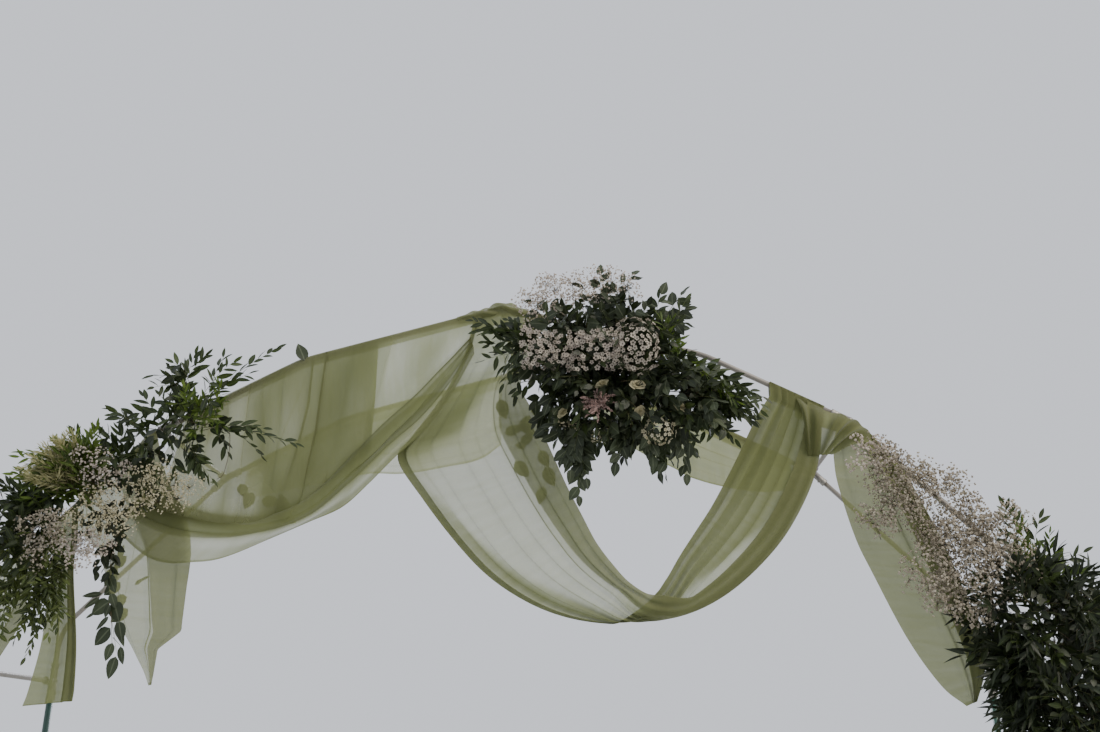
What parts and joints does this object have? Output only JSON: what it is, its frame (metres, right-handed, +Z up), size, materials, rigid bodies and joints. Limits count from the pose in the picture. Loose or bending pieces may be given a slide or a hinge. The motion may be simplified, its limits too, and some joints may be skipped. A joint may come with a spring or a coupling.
{
  "type": "chuppah canopy",
  "caption": "Freestanding open canopy of two arched tube hoops, hung with swags of sheer green cloth and dressed with leafy flower garlands.",
  "frame": {"origin": "on the ground, in the middle of the four base plates", "axes": "+Z up, -Y towards the front hoop with the garlands, +X to the right as seen from the front"},
  "size_m": [3.903, 1.2602, 2.8834],
  "materials": {
    "green_tube": "satin",
    "grey_tube": "satin",
    "cast_fitting": "satin",
    "base_plate": "matte",
    "chiffon": "matte",
    "foliage": "matte",
    "gypsophila": "matte"
  },
  "bodies": {
    "root": {"back_apex_fitting": "cast_fitting", "back_left_base_plate": "base_plate", "back_left_crown_tube": "grey_tube", "back_left_haunch_tube": "grey_tube", "back_left_leg": "green_tube", "back_left_shoulder_fitting": "cast_fitting", "back_left_spring_fitting": "cast_fitting", "back_right_base_plate": "base_plate", "back_right_crown_tube": "grey_tube", "back_right_haunch_tube": "grey_tube", "back_right_leg": "green_tube", "back_right_shoulder_fitting": "cast_fitting", "back_right_spring_fitting": "cast_fitting", "centre_swag_left_limb": "chiffon", "centre_swag_right_limb": "chiffon", "crown_bouquet": "foliage", "front_apex_fitting": "cast_fitting", "front_left_base_plate": "base_plate", "front_left_crown_tube": "grey_tube", "front_left_haunch_tube": "grey_tube", "front_left_leg": "green_tube", "front_left_shoulder_fitting": "cast_fitting", "front_left_spring_fitting": "cast_fitting", "front_right_base_plate": "base_plate", "front_right_crown_tube": "grey_tube", "front_right_haunch_tube": "grey_tube", "front_right_leg": "green_tube", "front_right_shoulder_fitting": "cast_fitting", "front_right_spring_fitting": "cast_fitting", "left_back_valance": "chiffon", "left_far_tail": "chiffon", "left_haunch_garland": "foliage", "left_inner_tail": "chiffon", "left_outer_tail": "chiffon", "left_shoulder_garland": "foliage", "left_shoulder_rail": "grey_tube", "left_spring_rail": "grey_tube", "left_swag": "chiffon", "ridge_rail": "grey_tube", "right_back_valance": "chiffon", "right_foliage": "foliage", "right_gypsophila": "gypsophila", "right_shoulder_rail": "grey_tube", "right_spring_rail": "grey_tube", "right_tail": "chiffon"}
  },
  "joints": []
}
